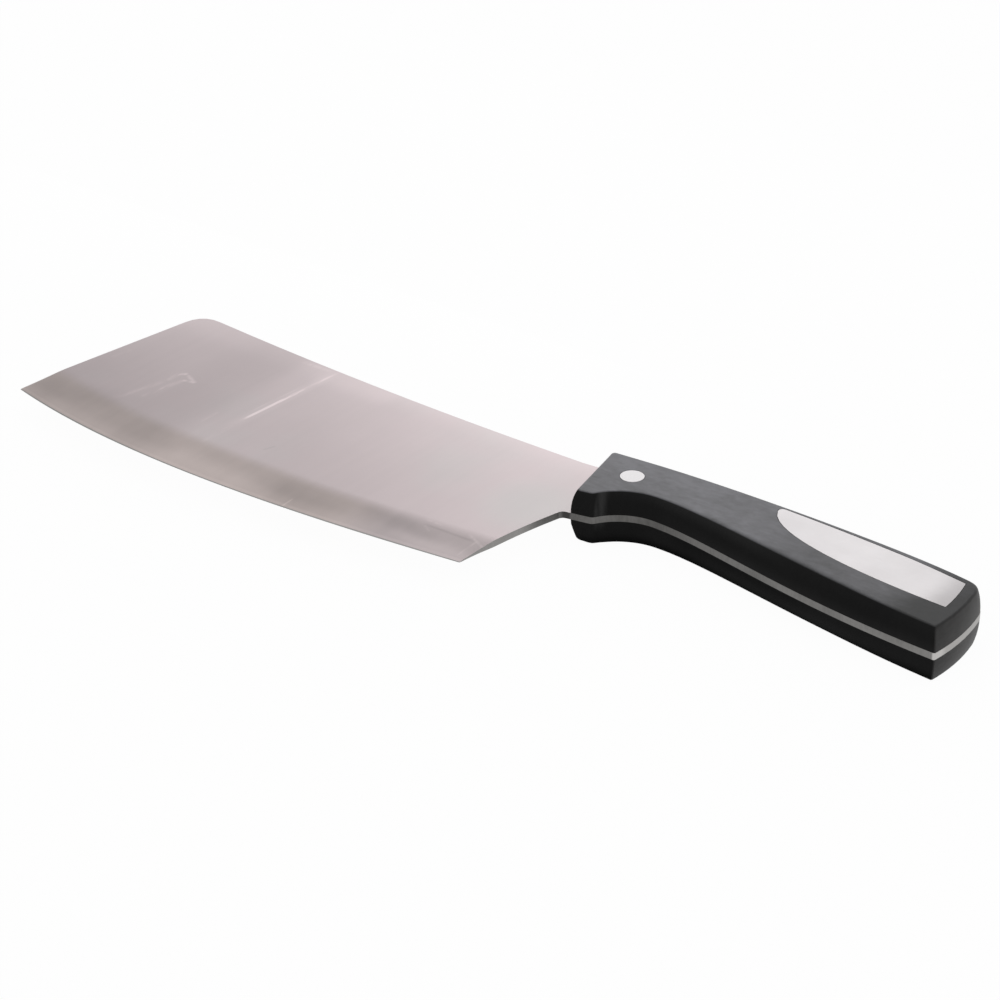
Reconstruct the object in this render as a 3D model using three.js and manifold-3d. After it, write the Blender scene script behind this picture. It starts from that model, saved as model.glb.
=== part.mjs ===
// Chopper knife: a wide ground blade with a full tang, two crowned handle scales riveted through the tang,
// and a steel plate let flush into the outer face of each scale.
// Millimetres. The knife lies on its side: +X runs from the tip to the butt, +Y from the cutting edge to
// the spine, and +Z up through the thickness. Lengths are measured from the front of the handle, drops from
// the straight part of the spine and heights from the middle plane of the blade.

import * as THREE from "three";
import { mergeVertices } from "three/addons/utils/BufferGeometryUtils.js";
import Module from "manifold-3d";

const wasm = await Module();
wasm.setup();

// Blade: angles are in degrees, and a pull is how far a curve keeps its end direction.
const bladeThickness = 2.1;
const tipReach = 176;
const tipDrop = 65.4;
const heelReach = 1.8;
const heelDrop = 67.5;
const edgeTipAngle = 14.4;
const edgeTipPull = 54.3;
const edgeHeelAngle = 7.3;
const edgeHeelPull = 59.4;
const frontLean = 7.35;
const frontCornerRadius = 8;
const straightSpine = 22;
const spineSweepRadius = 1380;
const choilLean = 8.1;
const choilBow = 1.05;
const choilRadius = 2;

// Grind of the cutting edge: a wide hollow bevel with a soft shoulder, then a narrow sharpened band down to
// the edge itself.
const bevelWidthAtTip = 15.8;
const bevelWidthAtHeel = 13.6;
const bevelHollow = 0.09;
const shoulderSoftening = 2.4;
const sharpenedWidth = 0.9;
const sharpenedThickness = 0.36;
const edgeThickness = 0.06;

// Handle outline at the tang.
const handleLength = 129.7;
const frontRise = 0.8;
const frontCornerRounding = 1;
const guardSetback = 6.2;
const guardDrop = 27;
const guardFrontRadius = 1.2;
const guardRearRadius = 2;
const groovePeakReach = 28.1;
const groovePeakDrop = 16.4;
const grooveRadius = 16.8;
const grooveSweep = 62.8;
const bellyFrontPull = 20;
const bellyButtPull = 50;
const bellyButtAngle = 2;
const buttRadius = 66;
const buttApexDrop = 20.5;
const buttBellyDrop = 30.4;
const buttSpineDrop = 2;
const buttBellyRadius = 0.6;
const buttSpineRadius = 5.4;
const spineButtAngle = 13.7;
const spineButtPull = 38.5;
const spineFrontAngle = 5.1;
const spineFrontPull = 40;

// Scales: the walls swell towards the tang, most of all in the palm, where the belly rim is softest too.
const scaleThickness = 7.35;
const crownAtFront = 1.8;
const crownAtEnds = 1.05;
const crownAtPalm = 2.45;
const palmFromButt = 47;
const palmFrontReach = 64;
const palmButtReach = 50;
const palmFade = 1.5;
const crownFullness = 2.6;
const faceEdgeRadius = 0.6;
const palmRimWidth = 2;

// Steel plates in the outer faces of the scales.
const plateThickness = 1;
const plateClearance = 0.1;
const plateNoseFromButt = 70.3;
const plateNoseMargin = 1;
const plateEndMargin = 2.15;
const plateButtMargin = 4.9;
const plateLowerRise = 11.8;
const plateNoseAngle = 86;
const plateNosePull = 13.6;
const plateLowerPull = 29;
const plateLowerAngle = 1.8;
const plateNoseRadius = 1.6;
const plateCornerRadius = 0.5;

// Two-part rivets: a headed stud pressed into a headed socket.
const rivetHeadRadius = 3.6;
const rivetHeadThickness = 1.6;
const rivetSocketRadius = 2.4;
const rivetStudRadius = 1.4;
const rivetPressGap = 0.05;
const rivetEndGap = 0.5;
const rivetClearance = 0.1;
const frontRivetSetback = 15.3;
const frontRivetDrop = 9.2;
const middleRivetFromNose = 15.5;
const rearRivetFromPlateEnd = 12.5;

// Facets.
const roundSegments = 32;
const cornerSteps = 5;
const edgeSteps = 44;
const hollowSteps = 6;
const shoulderSteps = 4;
const wallLevels = 6;
const faceEdgeLevels = 4;

// Cutting tools run past the stock by this much.
const overrun = 2;

const bladeHalf = bladeThickness / 2;
const handleHalf = bladeHalf + scaleThickness;
const plateSeat = handleHalf - plateThickness;
const { degToRad, lerp, clamp } = THREE.MathUtils;

function at(x, y) {
  return new THREE.Vector2(x, y);
}

function heading(degrees) {
  return at(Math.cos(degToRad(degrees)), Math.sin(degToRad(degrees)));
}

function line(from, to) {
  return new THREE.LineCurve(from, to);
}

// A curve that leaves one point and reaches another along given headings.
function sweep(from, fromHeading, fromPull, to, toHeading, toPull) {
  const leave = from.clone().addScaledVector(heading(fromHeading), fromPull);
  const arrive = to.clone().addScaledVector(heading(toHeading), -toPull);
  return new THREE.CubicBezierCurve(from, leave, arrive, to);
}

// Where the line through one point meets the line through another.
function crossing(pointA, directionA, pointB, directionB) {
  const gap = pointB.clone().sub(pointA);
  const along = gap.cross(directionB) / directionA.cross(directionB);
  return pointA.clone().addScaledVector(directionA, along);
}

// Height of a curve that runs steadily along X, found by halving.
function heightAt(curve, x) {
  const rising = curve.getPoint(1).x > curve.getPoint(0).x;
  let low = 0;
  let high = 1;
  for (let halving = 0; halving < 40; halving += 1) {
    const middle = (low + high) / 2;
    if (curve.getPoint(middle).x < x === rising) {
      low = middle;
    } else {
      high = middle;
    }
  }
  return curve.getPoint(low).y;
}

// Walks a closed run of sides, each with the rounding radius of the corner that ends it. A straight side has
// no steps. The steps of a curve keep away from a rounded corner, by enough to move the loop inwards.
function traceLoop(sides, deepestInset) {
  const spareRoom = 1.15;
  const rooms = sides.map(({ curve, radius }, i) => {
    if (radius === 0) {
      return 0;
    }
    const next = sides[(i + 1) % sides.length].curve;
    const turn = Math.acos(clamp(curve.getTangent(1).dot(next.getTangent(0)), -1, 1));
    return spareRoom * (radius + deepestInset) * Math.tan(turn / 2);
  });
  return sides.flatMap((side, i) => {
    const { curve, radius, steps } = side;
    const length = curve.getLength();
    const start = rooms.at(i - 1) / length;
    const end = 1 - rooms[i] / length;
    const first = start > 0 ? 0 : 1;
    const last = end < 1 ? steps : steps - 1;
    const loop = [];
    for (let step = first; steps > 0 && step <= last; step += 1) {
      const point = curve.getPointAt(lerp(start, end, step / steps));
      loop.push({ point, radius: 0, before: side, after: side });
    }
    loop.push({ point: curve.getPoint(1), radius, before: side, after: sides[(i + 1) % sides.length] });
    return loop;
  });
}

// Moves a loop inwards, with its corners mitred, by a depth that may change along it and from side to side.
function inset(loop, depthOf) {
  const straight = 1e-6;
  const moved = (point, direction, depth) => (
    point.clone().addScaledVector(at(-direction.y, direction.x), depth)
  );
  return loop.map((entry, i) => {
    const { point, before, after } = entry;
    const arriving = point.clone().sub(loop.at(i - 1).point).normalize();
    const leaving = loop[(i + 1) % loop.length].point.clone().sub(point).normalize();
    const movedBefore = moved(point, arriving, depthOf(before, point.x));
    if (Math.abs(arriving.cross(leaving)) < straight) {
      return { ...entry, point: movedBefore };
    }
    const movedAfter = moved(point, leaving, depthOf(after, point.x));
    return { ...entry, point: crossing(movedBefore, arriving, movedAfter, leaving) };
  });
}

// Turns a loop into an outline, with a short curve in place of each corner that has a radius. The curve
// leaves room for the rounding of a corner beside it.
function rounded(loop) {
  const roomBeside = (neighbour, point) => (
    neighbour.point.distanceTo(point) * (neighbour.radius > 0 ? 0.48 : 0.9)
  );
  return loop.flatMap(({ point, radius }, i) => {
    if (radius === 0) {
      return [point];
    }
    const before = loop.at(i - 1);
    const after = loop[(i + 1) % loop.length];
    const back = before.point.clone().sub(point).normalize();
    const on = after.point.clone().sub(point).normalize();
    const turn = Math.PI - Math.acos(clamp(back.dot(on), -1, 1));
    const trim = Math.min(radius * Math.tan(turn / 2), roomBeside(before, point), roomBeside(after, point));
    const start = point.clone().addScaledVector(back, trim);
    const end = point.clone().addScaledVector(on, trim);
    return new THREE.QuadraticBezierCurve(start, point, end).getPoints(cornerSteps);
  });
}

// Closed solid through rings of equal counts, each running anticlockwise seen from the last ring.
function loft(rings, firstCap, lastCap) {
  const count = rings[0].length;
  const positions = rings.flat().flatMap((point) => point.toArray());
  const index = [];
  for (let ring = 0; ring < rings.length - 1; ring += 1) {
    for (let i = 0; i < count; i += 1) {
      const here = ring * count + i;
      const next = ring * count + ((i + 1) % count);
      index.push(here, next, next + count, here, next + count, here + count);
    }
  }
  const lastStart = (rings.length - 1) * count;
  for (const [a, b, c] of THREE.ShapeUtils.triangulateShape(firstCap, [])) {
    index.push(a, c, b);
  }
  for (const [a, b, c] of THREE.ShapeUtils.triangulateShape(lastCap, [])) {
    index.push(lastStart + a, lastStart + b, lastStart + c);
  }
  const geometry = new THREE.BufferGeometry();
  geometry.setAttribute("position", new THREE.Float32BufferAttribute(positions, 3));
  geometry.setIndex(index);
  return geometry;
}

function prism(outline, bottom, top) {
  const settings = { depth: top - bottom, bevelEnabled: false };
  return new THREE.ExtrudeGeometry(new THREE.Shape(outline), settings).translate(0, 0, bottom);
}

function drill(radius, centre, bottom, top) {
  const bit = new THREE.CylinderGeometry(radius, radius, top - bottom, roundSegments);
  return bit.rotateX(Math.PI / 2).translate(centre.x, centre.y, (top + bottom) / 2);
}

function mirrored(geometry) {
  const copy = geometry.clone().scale(1, 1, -1);
  const index = copy.index.array;
  for (let i = 0; i < index.length; i += 3) {
    [index[i], index[i + 1]] = [index[i + 1], index[i]];
  }
  return copy;
}

function solid(geometry) {
  const bare = geometry.clone();
  bare.deleteAttribute("normal");
  bare.deleteAttribute("uv");
  const merged = mergeVertices(bare);
  const vertProperties = Float32Array.from(merged.attributes.position.array);
  const triVerts = Uint32Array.from(merged.index.array);
  return new wasm.Manifold(new wasm.Mesh({ numProp: 3, vertProperties, triVerts }));
}

function cut(stock, tools) {
  const result = tools.reduce((body, tool) => body.subtract(solid(tool)), solid(stock)).getMesh();
  const geometry = new THREE.BufferGeometry();
  geometry.setAttribute("position", new THREE.Float32BufferAttribute(result.vertProperties, 3));
  geometry.setIndex(Array.from(result.triVerts));
  return geometry;
}

// Sides of the handle at the tang, shared by the tang and the scales.
const spineFront = at(0, frontRise);
const guardFront = at(guardSetback, -guardDrop);
const grooveCentre = at(groovePeakReach, -groovePeakDrop - grooveRadius);
const groovePeak = at(groovePeakReach, -groovePeakDrop);
const guardRear = grooveCentre.clone().addScaledVector(heading(90 + grooveSweep), grooveRadius);
const buttCentre = at(handleLength - buttRadius, -buttApexDrop);

function buttAngle(drop, radius) {
  return Math.asin((buttApexDrop - drop) / radius);
}

function buttCurve(fromDrop, toDrop, radius) {
  const from = buttAngle(fromDrop, radius);
  const to = buttAngle(toDrop, radius);
  return new THREE.EllipseCurve(buttCentre.x, buttCentre.y, radius, radius, from, to, false);
}

const buttEnd = buttCurve(buttBellyDrop, buttSpineDrop, buttRadius);
const buttBelly = buttEnd.getPoint(0);
const buttSpine = buttEnd.getPoint(1);
const grooveStart = degToRad(90 + grooveSweep);
const groove = new THREE.EllipseCurve(
  grooveCentre.x, grooveCentre.y, grooveRadius, grooveRadius, grooveStart, Math.PI / 2, true,
);
const belly = sweep(groovePeak, 0, bellyFrontPull, buttBelly, -bellyButtAngle, bellyButtPull);
const handleSpine = sweep(
  buttSpine, 180 - spineButtAngle, spineButtPull, spineFront, 180 + spineFrontAngle, spineFrontPull,
);
const gripSides = [
  { curve: groove, steps: 12, radius: 0, softRim: true },
  { curve: belly, steps: 22, radius: buttBellyRadius, softRim: true },
  { curve: buttEnd, steps: 7, radius: buttSpineRadius },
];

function bladeAndTang() {
  const tip = at(-tipReach, -tipDrop);
  const heel = at(-heelReach, -heelDrop);
  const edge = sweep(tip, -edgeTipAngle, edgeTipPull, heel, edgeHeelAngle, edgeHeelPull);

  const sweepCentre = at(-straightSpine, spineSweepRadius);
  const frontUp = heading(90 - frontLean);
  const toCentre = sweepCentre.clone().sub(tip);
  const nearest = toCentre.dot(frontUp);
  const reach = Math.sqrt(nearest ** 2 - toCentre.lengthSq() + spineSweepRadius ** 2);
  const frontTop = tip.clone().addScaledVector(frontUp, nearest - reach);
  const sweepStart = -Math.PI / 2;
  const sweepEnd = sweepStart - Math.asin((sweepCentre.x - frontTop.x) / spineSweepRadius);
  const spineSweep = new THREE.EllipseCurve(
    sweepCentre.x, sweepCentre.y, spineSweepRadius, spineSweepRadius, sweepStart, sweepEnd, true,
  );

  // The tang's spine runs on, straight, until it meets the blade's; the guard runs on to the choil.
  const spineBreak = at(-frontRise / Math.tan(degToRad(spineFrontAngle)), 0);
  const guardLine = guardRear.clone().sub(guardFront);
  const choilTop = crossing(heel, heading(90 - choilLean), guardFront, guardLine);
  const intoBlade = heading(180 - choilLean);
  const choilPull = heel.clone().lerp(choilTop, 0.5).addScaledVector(intoBlade, 2 * choilBow);
  const choil = new THREE.QuadraticBezierCurve(heel, choilPull, choilTop);

  const outline = rounded(traceLoop([
    { curve: edge, steps: edgeSteps, radius: 0 },
    { curve: choil, steps: 10, radius: choilRadius },
    { curve: line(choilTop, guardRear), steps: 0, radius: guardRearRadius },
    ...gripSides,
    { curve: handleSpine, steps: 24, radius: 0 },
    { curve: line(spineFront, spineBreak), steps: 0, radius: 0 },
    { curve: line(spineBreak, at(-straightSpine, 0)), steps: 0, radius: 0 },
    { curve: spineSweep, steps: 10, radius: frontCornerRadius },
    { curve: line(frontTop, tip), steps: 0, radius: 0 },
  ], 0));

  const upperGrind = grindTool(edge);
  const holes = rivetSeats().map(({ centre }) => rivetHole(centre, -bladeHalf));
  return cut(prism(outline, -bladeHalf, bladeHalf), [upperGrind, mirrored(upperGrind), ...holes]);
}

// Section of the stock taken off one side of the edge, with X running in from the edge and Y up.
function grindSection(bevelWidth) {
  const bandTop = at(sharpenedWidth, sharpenedThickness / 2);
  const shoulder = at(bevelWidth, bladeHalf);
  const pull = bandTop.clone().lerp(shoulder, 0.5).sub(at(0, 2 * bevelHollow));
  const hollow = new THREE.QuadraticBezierCurve(bandTop, pull, shoulder);
  const hollowShare = 1 - shoulderSoftening / (bevelWidth - sharpenedWidth);
  const hollowTop = hollow.getPoint(hollowShare);
  const rise = hollow.getTangent(hollowShare);
  const reach = (bladeHalf - hollowTop.y) * rise.x / rise.y;
  const softening = new THREE.QuadraticBezierCurve(
    hollowTop,
    at(hollowTop.x + reach, bladeHalf),
    at(hollowTop.x + 2 * reach, bladeHalf),
  );
  const top = bladeHalf + overrun;
  const section = [at(-overrun, top), at(-overrun, edgeThickness / 2), at(0, edgeThickness / 2)];
  for (let step = 0; step < hollowSteps; step += 1) {
    section.push(hollow.getPoint(hollowShare * step / hollowSteps));
  }
  section.push(...softening.getPoints(shoulderSteps), at(softening.v2.x, top));
  return section;
}

// The section carried along the edge and past its ends, narrowing towards the heel.
function grindTool(edge) {
  const ringAt = (foot, along, section) => section.map(({ x, y }) => {
    const inward = at(-along.y, along.x).multiplyScalar(x);
    return new THREE.Vector3(foot.x + inward.x, foot.y + inward.y, y);
  });
  const runOut = Math.max(bevelWidthAtTip, bevelWidthAtHeel);
  const before = edge.getTangent(0);
  const after = edge.getTangent(1);
  const tipSection = grindSection(bevelWidthAtTip);
  const heelSection = grindSection(bevelWidthAtHeel);
  const rings = [ringAt(edge.getPoint(0).addScaledVector(before, -runOut), before, tipSection)];
  for (let step = 0; step <= edgeSteps; step += 1) {
    const share = step / edgeSteps;
    const section = grindSection(lerp(bevelWidthAtTip, bevelWidthAtHeel, share));
    rings.push(ringAt(edge.getPointAt(share), edge.getTangentAt(share), section));
  }
  rings.push(ringAt(edge.getPoint(1).addScaledVector(after, runOut), after, heelSection));
  return loft(rings, tipSection, heelSection);
}

// One in the middle of the palm, fading to nought towards both ends of the handle.
function palmAt(x) {
  const palm = handleLength - palmFromButt;
  const reach = x < palm ? palmFrontReach : palmButtReach;
  const away = Math.min(1, Math.abs(x - palm) / reach);
  return Math.cos(away * Math.PI / 2) ** palmFade;
}

// How far a scale's outer face stands in from the tang, along the handle. The front has a crown of its own.
function crownAt(x) {
  return lerp(crownAtEnds, crownAtPalm, palmAt(x));
}

// How far the rounding of the outer face's rim reaches in from the wall.
function rimAt(side, x) {
  return side.softRim ? lerp(faceEdgeRadius, palmRimWidth, palmAt(x)) : faceEdgeRadius;
}

function scaleWall() {
  const tangLoop = traceLoop([
    { curve: line(guardFront, guardRear), steps: 0, radius: guardRearRadius },
    ...gripSides,
    { curve: handleSpine, steps: 24, radius: frontCornerRounding },
    { curve: line(spineFront, guardFront), steps: 0, radius: guardFrontRadius, crown: crownAtFront },
  ], Math.max(crownAtFront, crownAtEnds) + faceEdgeRadius);
  const wallTop = handleHalf - faceEdgeRadius;
  const levels = [];
  for (let level = 0; level < wallLevels; level += 1) {
    levels.push({ height: lerp(bladeHalf, wallTop, Math.sin(level / wallLevels * Math.PI / 2)), roll: 0 });
  }
  for (let level = 0; level <= faceEdgeLevels; level += 1) {
    const angle = level / faceEdgeLevels * Math.PI / 2;
    levels.push({ height: wallTop + faceEdgeRadius * Math.sin(angle), roll: 1 - Math.cos(angle) });
  }
  const outlines = levels.map(({ height, roll }) => {
    const share = (height / handleHalf) ** crownFullness;
    return rounded(inset(tangLoop, (side, x) => share * (side.crown ?? crownAt(x)) + roll * rimAt(side, x)));
  });
  const rings = outlines.map((outline, i) => (
    outline.map(({ x, y }) => new THREE.Vector3(x, y, levels[i].height))
  ));
  return loft(rings, outlines[0], outlines.at(-1));
}

// The plate follows the spine edge of the face, the butt and a long curve up to its nose.
const plateNoseReach = handleLength - plateNoseFromButt;
const plateLowerDrop = buttBellyDrop - plateLowerRise;
const plateButtRadius = buttRadius - plateButtMargin;
const plateEndReach = buttCurve(plateLowerDrop, 0, plateButtRadius).getPoint(1).x;

function plateSpineHeight(x) {
  const share = (x - plateNoseReach) / (plateEndReach - plateNoseReach);
  return heightAt(handleSpine, x) - crownAt(x) - lerp(plateNoseMargin, plateEndMargin, share);
}

function plateSides() {
  const stations = [0, 0.25, 0.5, 0.75, 1];
  const endReach = buttCurve(plateLowerDrop, -plateSpineHeight(plateEndReach), plateButtRadius).getPoint(1).x;
  const spineEdge = new THREE.SplineCurve(stations.map((share) => {
    const x = lerp(endReach, plateNoseReach, share);
    return at(x, plateSpineHeight(x));
  }));
  const end = buttCurve(plateLowerDrop, -plateSpineHeight(endReach), plateButtRadius);
  const nose = at(plateNoseReach, plateSpineHeight(plateNoseReach));
  const lower = sweep(
    nose, -plateNoseAngle, plateNosePull, end.getPoint(0), -plateLowerAngle, plateLowerPull,
  );
  return { lower, end, spineEdge };
}

function plateLoop() {
  const { lower, end, spineEdge } = plateSides();
  return traceLoop([
    { curve: lower, steps: 22, radius: plateCornerRadius },
    { curve: end, steps: 5, radius: plateCornerRadius },
    { curve: spineEdge, steps: 14, radius: plateNoseRadius },
  ], plateClearance);
}

// Rivets: one shows at the front of the handle, two more hold the scales under the plates.
function rivetSeats() {
  const { lower, end } = plateSides();
  const underPlate = (x) => at(x, (plateSpineHeight(x) + heightAt(lower, x)) / 2);
  const middle = underPlate(plateNoseReach + middleRivetFromNose);
  const rear = underPlate(end.getPoint(0).x - rearRivetFromPlateEnd);
  return [
    { name: "front", centre: at(frontRivetSetback, -frontRivetDrop), seat: handleHalf },
    { name: "middle", centre: middle, seat: plateSeat },
    { name: "rear", centre: rear, seat: plateSeat },
  ];
}

function rivetHole(centre, bottom) {
  return drill(rivetSocketRadius + rivetClearance, centre, bottom - overrun, handleHalf);
}

function upperScale() {
  const pocket = rounded(inset(plateLoop(), () => -plateClearance));
  const tools = [prism(pocket, plateSeat, handleHalf + overrun)];
  for (const { centre, seat } of rivetSeats()) {
    tools.push(drill(rivetHeadRadius + rivetClearance, centre, seat - rivetHeadThickness, seat + overrun));
    tools.push(rivetHole(centre, bladeHalf));
  }
  return cut(scaleWall(), tools);
}

function turned(profile, centre) {
  const geometry = new THREE.LatheGeometry(profile, roundSegments);
  return geometry.rotateX(Math.PI / 2).translate(centre.x, centre.y, 0);
}

function rivetStud({ centre, seat }) {
  const headFloor = seat - rivetHeadThickness;
  const end = -headFloor + rivetEndGap;
  return turned([
    at(0, end),
    at(rivetStudRadius, end),
    at(rivetStudRadius, headFloor),
    at(rivetHeadRadius, headFloor),
    at(rivetHeadRadius, seat),
    at(0, seat),
  ], centre);
}

function rivetSocket({ centre, seat }) {
  const headFloor = rivetHeadThickness - seat;
  const mouth = -headFloor - rivetEndGap;
  const bore = rivetStudRadius + rivetPressGap;
  return turned([
    at(0, -seat),
    at(rivetHeadRadius, -seat),
    at(rivetHeadRadius, headFloor),
    at(rivetSocketRadius, headFloor),
    at(rivetSocketRadius, mouth),
    at(bore, mouth),
    at(bore, headFloor),
    at(0, headFloor),
  ], centre);
}

const knife = new THREE.Group();

function addPiece(name, geometry, color, roughness, metalness) {
  geometry.computeVertexNormals();
  const piece = new THREE.Mesh(geometry, new THREE.MeshStandardMaterial({ color, roughness, metalness }));
  piece.name = name;
  knife.add(piece);
}

const bladeColor = 0xb9afad;
const handleColor = 0x29292b;
const plateColor = 0xd9d4d4;
const rivetColor = 0xdedee0;

addPiece("blade", bladeAndTang(), bladeColor, 0.4, 1);

const scale = upperScale();
addPiece("upper_scale", scale, handleColor, 0.45, 0);
addPiece("lower_scale", mirrored(scale), handleColor, 0.45, 0);

const plate = mergeVertices(prism(rounded(plateLoop()), plateSeat, handleHalf).deleteAttribute("normal"));
addPiece("upper_plate", plate, plateColor, 0.35, 1);
addPiece("lower_plate", mirrored(plate), plateColor, 0.35, 1);

for (const rivet of rivetSeats()) {
  addPiece(`${rivet.name}_rivet_stud`, rivetStud(rivet), rivetColor, 0.3, 1);
  addPiece(`${rivet.name}_rivet_socket`, rivetSocket(rivet), rivetColor, 0.3, 1);
}

// The part stands with its origin under the middle of its outline.
const extent = new THREE.Box3().setFromObject(knife);
const middle = extent.getCenter(new THREE.Vector3());
knife.position.set(-middle.x, -middle.y, -extent.min.z);

const part = new THREE.Group();
part.add(knife);

export default part;
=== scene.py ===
"""Looks of a chopper knife: a wide ground blade, two black handle scales, let-in steel plates and rivets."""
import math

import bmesh
import bpy
import numpy as np
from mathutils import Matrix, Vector


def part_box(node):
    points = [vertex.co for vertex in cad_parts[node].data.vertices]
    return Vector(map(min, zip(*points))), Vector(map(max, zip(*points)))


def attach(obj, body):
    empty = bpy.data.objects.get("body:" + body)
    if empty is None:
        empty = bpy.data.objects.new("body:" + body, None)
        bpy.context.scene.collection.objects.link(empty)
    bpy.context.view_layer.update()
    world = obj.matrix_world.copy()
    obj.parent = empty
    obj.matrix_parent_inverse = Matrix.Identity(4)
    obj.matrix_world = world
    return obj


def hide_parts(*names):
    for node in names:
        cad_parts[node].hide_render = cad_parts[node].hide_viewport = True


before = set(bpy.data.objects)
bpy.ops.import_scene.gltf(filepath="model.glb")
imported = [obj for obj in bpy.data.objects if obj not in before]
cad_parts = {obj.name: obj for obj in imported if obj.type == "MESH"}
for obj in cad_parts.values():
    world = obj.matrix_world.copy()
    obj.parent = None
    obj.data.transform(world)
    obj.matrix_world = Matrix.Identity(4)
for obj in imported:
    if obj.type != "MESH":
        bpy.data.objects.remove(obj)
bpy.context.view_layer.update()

MM = 0.001
BODY = "root"

# Places that the finishes are measured from
BLADE_LOW, BLADE_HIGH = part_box("blade")
UPPER_LOW, UPPER_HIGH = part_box("upper_scale")
TIP_X = BLADE_LOW.x
EDGE_Y = BLADE_LOW.y
BLADE_MIDDLE = (BLADE_LOW.z + BLADE_HIGH.z) / 2
BLADE_HALF = (BLADE_HIGH.z - BLADE_LOW.z) / 2
FRONT_X = UPPER_LOW.x
BUTT_X = UPPER_HIGH.x
BELLY_Y = UPPER_LOW.y
HANDLE_HALF = UPPER_HIGH.z - BLADE_MIDDLE
HANDLE_FOOT = BLADE_MIDDLE - HANDLE_HALF
# Just below the highest point of the handle
TOP_Y = UPPER_HIGH.y - 0.8 * MM

# Camera of the photograph
CAMERA_TARGET = Vector((7.85, 2.17, 8.4)) * MM
CAMERA_DISTANCE = 922.2 * MM
CAMERA_AZIMUTH = math.radians(37.83)
CAMERA_ELEVATION = math.radians(28.3)
CAMERA_LENS = 115.2
CAMERA_SENSOR = 36.0

# Studio
FLOOR_SIDE = 8.0
FLOOR_COLOUR = (0.9, 0.9, 0.9, 1.0)
FLOOR_WHITENESS = 0.962
# Room light by the sine of its height above the horizon
WORLD_LIGHT = ((0.38, 1.0), (0.44, 0.80), (0.50, 0.62), (0.56, 0.48), (0.64, 0.48), (0.85, 0.75))
WORLD_LEFT = -0.66
WORLD_RIGHT = -0.56
WORLD_LEFT_SHARE = 0.82
# Lamps: name, place, point that it faces, width, height and power
LAMPS = (
    ("overhead_softbox", (0.0, 0.0, 1.3), (0.0, 0.0, 0.0), 2.2, 2.2, 4.6),
    ("back_softbox", (-0.15, 0.32, 0.19), (-0.15, -0.2, 0.15), 0.29, 0.26, 0.066),
    ("low_strip", (-0.16, 0.11, 0.027), (-0.16, -0.2, 0.027), 0.28, 0.054, 0.011),
)

# Blade finish: tints, roughness and relief
STEEL_LEVEL = 0.70
FLAT_TINT = (1.0, 0.872, 0.887, 1.0)
WORN_TINT = (0.965, 0.915, 0.91, 1.0)
BEVEL_TINT = (1.0, 0.865, 0.83, 1.0)
HEEL_TINT = (1.0, 0.88, 0.885, 1.0)
EDGE_STEEL = (0.36, 0.353, 0.345, 1.0)
NO_LIGHT = (0.0, 0.0, 0.0, 1.0)
STEEL_ROUGHNESS = 0.31
STEEL_ROUGHNESS_LINES = 0.05
STEEL_BRUSHING = 0.8
GRIND_MAP = "grind"
GRIND_LEAN = math.radians(2.5)
GRIND_DEPTH = 0.002 * MM
GRIND_RELIEF = 0.25
MARK_RELIEF = -1.5

# Bevel above the cutting edge: its height, and its painted shade and painted highlight in shares of the
# steel's level
BEVEL_AT_TIP = 15.8 * MM
BEVEL_AT_HEEL = 13.6 * MM
BEVEL_SOFTNESS = 3.0 * MM
BEVEL_SWELL = 0.9 * MM
SWELL_X = TIP_X + 86 * MM
SWELL_FADE = (10 * MM, 42 * MM)
HOLLOW_FADE = (2.0 * MM, 8.0 * MM)
HOLLOW_PAINTED_SHADE = (0.03, 0.13)
HEELWARD_FADE = (TIP_X + 30 * MM, TIP_X + 150 * MM)
HEELWARD_PAINTED_SHADE = 0.09
HEEL_TINT_FADE = (TIP_X + 125 * MM, TIP_X + 150 * MM)
EDGE_LINE_FADE = (0.30 * MM, 0.48 * MM)
HONED_STRIP = 1.2 * MM
HONED_FADE = (0.24 * MM, 0.84 * MM)
HONED_PAINTED_HIGHLIGHT = 0.07

# Broad tone of the flanks in shares of the steel's level, with a painted highlight along the spine and
# painted shade low at the tip
FLANK_CLOUD = 0.10
FLANK_PATCHES = 0.06
BEVEL_PATCHES = 0.20
FLANK_LINES = 0.05
SPINE_HIGHLIGHT_FADE = (TOP_Y - 13.0 * MM, TOP_Y)
SPINE_PAINTED_HIGHLIGHT = 0.07
BELT_FADE = (TIP_X + 53.0 * MM, TIP_X + 67.0 * MM)
BELT_SHADE = -0.07
BELT_DIP_X = TIP_X + 47.0 * MM
BELT_DIP_FADE = (5 * MM, 17 * MM)
BELT_DIP_SHADE = -0.05
TIP_FADE = (TIP_X, TIP_X + 70.0 * MM)
TIP_LOW_FADE = (EDGE_Y + 12 * MM, TOP_Y)
TIP_LOW_PAINTED_SHADE = (-0.17, 0.05)
TIP_BEVEL_PAINTED_LIGHT = 0.07

# Worn, greyer steel beside the handle, and greyer clouds over the rest
WORN_CENTRE = (TIP_X + 172 * MM, EDGE_Y + 44 * MM, 0.0)
WORN_FADE = (9.6 * MM, 24 * MM)
WORN_STRENGTH = 0.85
GREY_CLOUD_SHIFT = (0.3, 0.1, 0.0)
GREY_CLOUD_FADE = (0.0, 0.3)
GREY_CLOUD_STRENGTH = 0.45

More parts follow.
